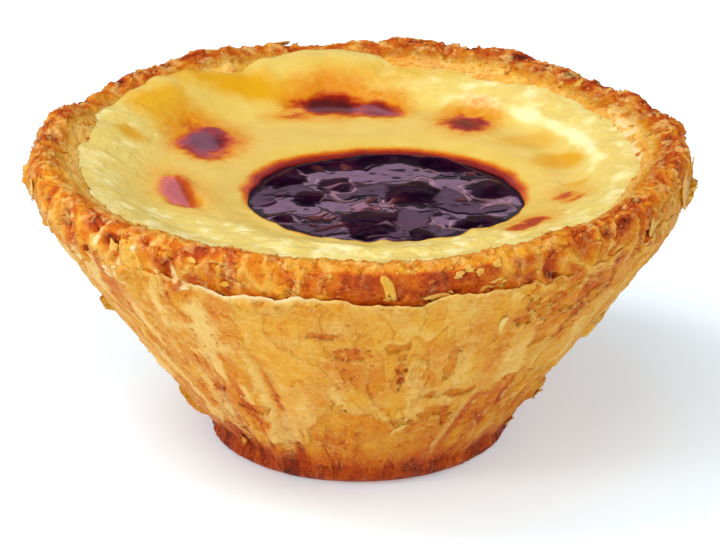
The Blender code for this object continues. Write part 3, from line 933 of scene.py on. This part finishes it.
def on_wall(azimuth, height, lift):
    """Points on the outer wall with the directions around and up there."""
    relief = wall_fields(azimuth, height)[0]
    points = place(azimuth, wall_radius(height) + relief + lift, height)
    slope = (WALL_TOP_RADIUS - HEEL_RADIUS) / (WALL_TOP - HEEL_HEIGHT)
    return points, place(azimuth + 90, 1, 0), place(azimuth, slope, 1) / math.hypot(slope, 1)


def on_rim(azimuth, position, lift):
    """Points on the rim, from its foot (0) to inside the cup (1), with the directions around and up there."""
    last = len(rim_profile()) - 1
    row = np.clip(np.round(position * last).astype(int), 0, last)
    points, _, forward = rim_points(azimuth, row, lift)
    return points, place(azimuth + 90, 1, 0), place(azimuth, forward[:, 0], forward[:, 1])


def scrap(chance, middle, around, up, length, width, turn, curl=0.12):
    """A thin torn flake, as points in mm and faces. Its length runs around the cup at turn 0."""
    sides = 14
    thickness = 0.12
    out = np.cross(around, up)
    angle = np.linspace(0, 2 * math.pi, sides, endpoint=False)
    reach = 1 + 0.4 * chance.uniform(-1, 1, sides)
    across = 0.5 * length * reach * np.cos(angle)
    along_up = 0.5 * width * reach * np.sin(angle)
    turned = math.radians(turn)
    side = across * math.cos(turned) - along_up * math.sin(turned)
    rise = across * math.sin(turned) + along_up * math.cos(turned)
    bend = curl * (across / (0.5 * length)) ** 2 + 0.3 * curl * chance.uniform(-1, 1, sides)
    points = []
    for share, lift in ((1, 0), (0.55, 0), (0.55, -thickness), (1, -thickness)):
        level = share * share * bend + lift
        flat = share * (side[:, None] * around + rise[:, None] * up)
        points.append(middle + flat + level[:, None] * out)
    points.append([middle, middle - thickness * out])
    top, under = 4 * sides, 4 * sides + 1
    faces = []
    for here in range(sides):
        there = (here + 1) % sides
        faces.append((here, there, sides + there, sides + here))
        faces.append((sides + here, sides + there, top))
        faces.append((3 * sides + there, 3 * sides + here, 2 * sides + here, 2 * sides + there))
        faces.append((2 * sides + there, 2 * sides + here, under))
        faces.append((3 * sides + here, 3 * sides + there, there, here))
    return np.concatenate(points), faces


def crumb(chance, middle, around, up, size):
    """A small uneven lump, as points in mm and faces."""
    sides = 6
    out = np.cross(around, up)
    points = [middle + 0.5 * size * out]
    for level, reach in ((0.3, 0.42), (0, 0.55), (-0.3, 0.38)):
        for side in range(sides):
            angle = math.radians(360 * side / sides + 30 * level)
            spread = size * reach * chance.uniform(0.65, 1.25)
            shift = spread * (math.cos(angle) * around + math.sin(angle) * up)
            points.append(middle + shift + level * size * out)
    points.append(middle - 0.5 * size * out)
    last = len(points) - 1
    low = last - sides
    faces = []
    for side in range(sides):
        there = (side + 1) % sides
        faces.append((0, 1 + side, 1 + there))
        for ring in (1, 1 + sides):
            faces.append((ring + side, ring + sides + side, ring + sides + there, ring + there))
        faces.append((low + side, last, low + there))
    return np.array(points), faces


def gathered(name, bits):
    """One piece from many (points, faces, brown, pale) bits."""
    points, faces, brown, pale = [], [], [], []
    start = 0
    for bit_points, bit_faces, bit_brown, bit_pale in bits:
        points.append(bit_points)
        faces.extend([tuple(index + start for index in face) for face in bit_faces])
        brown.append(np.full(len(bit_points), bit_brown))
        pale.append(np.full(len(bit_points), bit_pale))
        start += len(bit_points)
    plain = np.ones(start)
    values = (np.concatenate(brown), np.concatenate(pale), 0.5 * plain, plain)
    return meshed(name, np.concatenate(points), faces, dict(zip(PASTRY_FIELDS, values)))


def small_flakes(chance, spots, lengths, widths, turning, browns, pales):
    """A small flake at each spot, its values drawn from these ranges. Widths are shares of the length."""
    draw_turn, turns = turning
    bits = []
    for middle, around, up in zip(*spots):
        length = chance.uniform(*lengths)
        shape = scrap(chance, middle, around, up, length, length * chance.uniform(*widths), draw_turn(*turns))
        bits.append((*shape, chance.uniform(*browns), chance.uniform(*pales)))
    return bits


def flakes():
    """Loose and half-loose flakes: the named ones first, then small ones all round."""
    chance = np.random.default_rng(7)
    bits = []
    for scraps, on_cup, lift, curl in ((RIM_SCRAPS, on_rim, 0.1, 0.12), (WALL_SCRAPS, on_wall, 0.2, 0.22)):
        for azimuth, level, length, width, turn, brown, pale in scraps:
            points, around, up = on_cup(np.array([azimuth], float), np.array([level], float), lift)
            shape = scrap(chance, points[0], around[0], up[0], length, width, turn, curl)
            bits.append((*shape, brown, pale))
    azimuths = chance.uniform(0, 360, WALL_FLAKES)
    spots = on_wall(azimuths, chance.uniform(3, 30, WALL_FLAKES), 0.05)
    steep = (chance.normal, (70, 35))
    bits += small_flakes(chance, spots, (0.4, 1), (0.3, 0.6), steep, (0.35, 0.6), (0, 0.4))
    azimuths = chance.uniform(0, 360, RIM_FLAKES)
    spots = on_rim(azimuths, chance.uniform(0.2, 0.9, RIM_FLAKES), 0.05)
    any_way = (chance.uniform, (0, 180))
    bits += small_flakes(chance, spots, (0.5, 1.4), (0.35, 0.7), any_way, (0.35, 0.7), (0, 0.6))
    return gathered("pastry_flakes", bits)


def crumbs():
    """Crumbs on the crest and the inner face."""
    chance = np.random.default_rng(11)
    azimuths = chance.uniform(0, 360, CRUMBS)
    spots = on_rim(azimuths, np.clip(chance.normal(0.52, 0.1, CRUMBS), 0.1, 0.85), -0.05)
    bits = []
    for middle, around, up in zip(*spots):
        shape = crumb(chance, middle, around, up, chance.uniform(0.15, 0.45))
        bits.append((*shape, chance.uniform(0.5, 0.75), chance.uniform(0, 0.4)))
    return gathered("pastry_crumbs", bits)


class Painter:
    """Short names for building a material's nodes."""

    def __init__(self, name):
        self.material = bpy.data.materials.new(name)
        self.material.use_nodes = True
        self.nodes = self.material.node_tree.nodes
        self.links = self.material.node_tree.links
        self.shader = self.nodes["Principled BSDF"]
        self.place = self.nodes.new("ShaderNodeTexCoord").outputs["Object"]

    def feed(self, node, **values):
        """Links or sets a node's inputs, each named with _ for a space."""
        sockets = {socket.name.replace(" ", "_"): socket for socket in node.inputs if socket.enabled}
        for name, value in values.items():
            socket = sockets[name]
            if isinstance(value, bpy.types.NodeSocket):
                self.links.new(value, socket)
            else:
                socket.default_value = value

    def fed(self, kind, **values):
        """A new node of this kind with its inputs linked or set."""
        node = self.nodes.new("ShaderNode" + kind)
        self.feed(node, **values)
        return node

    def mask(self, name):
        node = self.nodes.new("ShaderNodeAttribute")
        node.attribute_name = name
        return node.outputs["Fac"]

    def grain(self, size, detail, roughness):
        """Noise of 0 to 1 whose bumps are size mm across."""
        scale = 1 / (size * MM)
        node = self.fed("TexNoise", Scale=scale, Detail=detail, Roughness=roughness, Vector=self.place)
        return node.outputs["Fac"]

    def sums(self, operation, first, second=None, clamp=False):
        node = self.nodes.new("ShaderNodeMath")
        node.operation = operation
        node.use_clamp = clamp
        for socket, value in zip(node.inputs, (first, second)):
            if isinstance(value, bpy.types.NodeSocket):
                self.links.new(value, socket)
            elif value is not None:
                socket.default_value = value
        return node.outputs["Value"]

    def plus(self, first, second, clamp=False):
        return self.sums("ADD", first, second, clamp)

    def times(self, first, second):
        return self.sums("MULTIPLY", first, second)

    def shift(self, noise_value, reach):
        """Noise of 0 to 1 as a shift of up to reach either way."""
        return self.spread(noise_value, 0.3, 0.7, -reach, reach)

    def spread(self, value, low, high, new_low=0, new_high=1):
        """A value clipped to low and high, and moved to the new range."""
        node = self.fed("MapRange", Value=value, From_Min=low, From_Max=high, To_Min=new_low, To_Max=new_high)
        return node.outputs["Result"]

    def ramp(self, value, stops):
        node = self.fed("ValToRGB", Fac=value)
        node.color_ramp.interpolation = "EASE"
        elements = node.color_ramp.elements
        while len(elements) < len(stops):
            elements.new(0.5)
        for element, (position, colour) in zip(elements, stops):
            element.position = position
            element.color = linear(colour)
        return node.outputs["Color"]

    def blend(self, share, first, second):
        node = self.nodes.new("ShaderNodeMix")
        node.data_type = "RGBA"
        first, second = (linear(value) if isinstance(value, tuple) else value for value in (first, second))
        self.feed(node, Factor=share, A=first, B=second)
        return [entry for entry in node.outputs if entry.enabled][0]

    def bump(self, layers):
        """Bump from (height, depth in mm) layers, the first laid on the bare surface."""
        normal = None
        for height, depth in layers:
            node = self.fed("Bump", Distance=depth * MM, Height=height)
            if normal is not None:
                self.feed(node, Normal=normal)
            normal = node.outputs["Normal"]
        self.set(Normal=normal)

    def set(self, **values):
        self.feed(self.shader, **values)


def linear(colour):
    """A colour as seen on screen, 0 to 255, as the linear values that a shader takes, with a full alpha."""
    shares = [value / 255 for value in colour]
    return (*(share / 12.92 if share <= 0.04045 else ((share + 0.055) / 1.055) ** 2.4 for share in shares), 1)


def pastry_material():
    """Baked puff pastry: leaves from pale dough through gold to dark brown, with torn pale edges."""
    paint = Painter("baked_pastry")
    coarse = paint.grain(2.4, 5, 0.6)
    fine = paint.grain(0.55, 4, 0.65)
    leaf = paint.plus(paint.mask("leaf"), paint.shift(fine, 0.1))
    part = paint.sums("FRACT", leaf)
    skin = paint.plus(paint.mask("skin"), paint.shift(fine, 0.14))
    cover = paint.spread(skin, -0.03, 0.05)
    torn_edge = paint.times(cover, paint.spread(skin, 0.05, 0.2, 1, 0))
    leaf_edge = paint.spread(part, 0, 0.1, 1, 0)

    # Painted shadow, with a deeper brown, at the foot of each leaf's step
    step_shadow = paint.times(paint.spread(part, 0.8, 0.92), paint.spread(part, 0.92, 0.99, 1, 0))
    step_shadow = paint.times(step_shadow, paint.spread(paint.grain(3.2, 2, 0.5), 0.45, 0.6))
    brown = paint.plus(paint.mask("brown"), paint.shift(coarse, 0.09))
    brown = paint.plus(brown, paint.shift(fine, 0.08))
    brown = paint.plus(brown, paint.times(step_shadow, 0.07))
    brown = paint.plus(brown, paint.spread(paint.grain(1, 2, 0.5), 0.67, 0.73, 0, 0.2))
    tone = paint.sums("FRACT", paint.times(paint.sums("FLOOR", leaf), 0.618))
    brown = paint.plus(brown, paint.spread(tone, 0, 1, -0.06, 0.06))

    pale = paint.sums("MAXIMUM", paint.mask("pale"), paint.times(torn_edge, 0.45))
    pale = paint.plus(pale, paint.times(leaf_edge, paint.spread(coarse, 0.4, 0.7, 0, 0.45)), clamp=True)
    partly = paint.times(pale, paint.sums("SUBTRACT", 1, pale))
    shredded = paint.times(partly, paint.spread(paint.grain(0.7, 4, 0.7), 0.35, 0.65, -1.8, 1.8))
    pale = paint.plus(pale, shredded, clamp=True)
    colour = paint.blend(paint.times(pale, 0.78), paint.ramp(brown, BAKED_TONES), (238, 196, 112))
    colour = paint.blend(paint.spread(paint.mask("pale"), 1, 1.5, 0, 0.8), colour, (242, 222, 176))
    tan = paint.spread(paint.grain(4.5, 3, 0.6), 0.45, 0.65, 0, 0.5)
    colour = paint.blend(paint.times(tan, paint.spread(brown, 0.35, 0.55, 1, 0)), colour, (216, 162, 84))

    paint.set(Base_Color=colour)
    paint.set(Roughness=paint.spread(coarse, 0.3, 0.7, 0.42, 0.62), Specular_IOR_Level=0.15)
    paint.set(Subsurface_Weight=0.12, Subsurface_Radius=(1, 0.5, 0.2), Subsurface_Scale=0.8 * MM)
    stair = paint.plus(paint.sums("FLOOR", leaf), paint.spread(part, 0.86, 1))
    crumbled, gritty = paint.grain(1, 4, 0.6), paint.grain(0.28, 3, 0.6)
    paint.bump(((stair, 0.08), (cover, 0.16), (crumbled, 0.3), (gritty, 0.14)))
    return paint.material


def custard_material():
    """Baked egg custard: pale and moist, yellow where it coloured and burnt red-brown in spots."""
    paint = Painter("baked_custard")
    soft = paint.grain(3, 4, 0.5)
    fine = paint.grain(0.8, 3, 0.6)
    pale = paint.mask("pale")
    gloss = paint.mask("gloss")
    plain = paint.blend(paint.spread(pale, 0, 1), (216, 182, 84), (224, 203, 114))
    plain = paint.blend(paint.spread(soft, 0.35, 0.65, 0, 0.4), plain, (226, 198, 108))
    # Painted highlights: near white where the paleness passes 0.9, on the ridge and the collar's flecks
    plain = paint.blend(paint.spread(pale, 0.9, 1.5, 0, 0.9), plain, (250, 238, 178))
    yellow = paint.blend(paint.mask("glow"), plain, (216, 158, 18))
    burn = paint.plus(paint.mask("burn"), paint.shift(fine, 0.04))
    colour = paint.blend(paint.spread(burn, 0.03, 0.3), yellow, paint.ramp(burn, BURNT_TONES))
    paint.set(Base_Color=colour, Specular_IOR_Level=0.09)
    rough = paint.spread(soft, 0.3, 0.7, 0.3, 0.44)
    paint.set(Roughness=paint.times(rough, paint.spread(gloss, 0.2, 0.9, 1, 0.35)))
    paint.set(Subsurface_Weight=0.3, Subsurface_Radius=(1, 0.7, 0.25), Subsurface_Scale=1.5 * MM)
    paint.set(Coat_Weight=paint.spread(gloss, 0, 1, 0.07, 0.45), Coat_Roughness=0.09)
    curds = paint.times(paint.spread(pale, 0, 0.8, 0.25, 1), paint.spread(burn, 0.1, 0.5, 1, 0))
    curdled = paint.times(paint.grain(0.9, 4, 0.6), curds)
    paint.bump(((curdled, 0.2), (paint.grain(0.4, 2, 0.5), 0.008)))
    return paint.material


def jam_material():
    """Blueberry jam: nearly black purple under a wet skin, with rusty bits of berry skin."""
    paint = Painter("blueberry_jam_wet")
    blotch = paint.grain(2.6, 4, 0.6)
    colour = paint.blend(paint.times(paint.mask("rust"), 0.7), paint.ramp(blotch, JAM_TONES), (104, 46, 40))
    # Painted highlight lines in pale lavender along the lumps and seams
    colour = paint.blend(paint.times(paint.mask("highlight_lines"), 0.75), colour, (150, 106, 116))
    paint.set(Base_Color=colour)
    paint.set(Roughness=paint.spread(blotch, 0.3, 0.7, 0.2, 0.35), Specular_IOR_Level=0.02)
    paint.set(Coat_Weight=paint.spread(paint.mask("wet"), 0.1, 0.8, 0.03, 1), Coat_Roughness=0.06)
    paint.bump(((paint.grain(0.9, 3, 0.6), 0.08),))
    return paint.material


def wear(piece, material, node):
    """Gives a piece its material and its place in the frame."""
    piece.data.materials.append(material)
    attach(piece, "root")
    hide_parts(node)


def make_tart():
    pastry = pastry_material()
    for make in (cup_wall, cup_rim, flakes, crumbs):
        wear(make(), pastry, "pastry_shell")
    wear(custard_top(), custard_material(), "custard")
    wear(jam_pool(), jam_material(), "blueberry_jam")


def make_floor():
    mesh = bpy.data.meshes.new("floor")
    corners = [(FLOOR_HALF * side, FLOOR_HALF * end, 0) for side, end in ((-1, -1), (1, -1), (1, 1), (-1, 1))]
    mesh.from_pydata(corners, [], [(0, 1, 2, 3)])
    floor = added("floor", mesh)
    paint = Painter("pale_floor")
    paint.set(Base_Color=(0.7, 0.83, 0.92, 1), Roughness=0.9, Specular_IOR_Level=0.1)
    paint.set(Emission_Color=(0.96, 0.98, 1, 1), Emission_Strength=0.32)
    mesh.materials.append(paint.material)


def aim(item, azimuth, elevation, distance):
    """Sets a light or the camera at this distance from the tart, facing it."""
    angle, rise = math.radians(azimuth), math.radians(elevation)
    away = Vector((math.cos(rise) * math.sin(angle), -math.cos(rise) * math.cos(angle), math.sin(rise)))
    item.location = Vector((0, 0, CAMERA_TARGET_HEIGHT)) + away * distance
    item.rotation_euler = away.to_track_quat("Z", "Y").to_euler()


def add_light(name, azimuth, elevation, distance, width, tall, power, colour=(1, 1, 1)):
    """A soft light panel that faces the tart."""
    light = bpy.data.lights.new(name, "AREA")
    light.shape = "RECTANGLE"
    light.size = width
    light.size_y = tall
    light.energy = power
    light.color = colour
    aim(added(name, light), azimuth, elevation, distance)


def make_lights():
    world = bpy.data.worlds.new("studio")
    world.use_nodes = True
    background = world.node_tree.nodes["Background"].inputs
    background["Color"].default_value = (1, 1, 1, 1)
    background["Strength"].default_value = 0.16
    bpy.context.scene.world = world
    for light in LIGHTS:
        add_light(*light)


def make_camera():
    camera = bpy.data.cameras.new("camera")
    camera.sensor_width = 36
    camera.lens = PIXELS_PER_METRE * CAMERA_DISTANCE * camera.sensor_width / IMAGE_WIDTH
    camera.shift_x = (IMAGE_MIDDLE[0] - TARGET_PIXEL[0]) / IMAGE_WIDTH
    camera.shift_y = (TARGET_PIXEL[1] - IMAGE_MIDDLE[1]) / IMAGE_WIDTH
    view = added("camera", camera)
    aim(view, 0, CAMERA_ELEVATION, CAMERA_DISTANCE)
    bpy.context.scene.camera = view
    bpy.context.scene.view_settings.view_transform = "Standard"


make_camera()
make_tart()
make_floor()
make_lights()
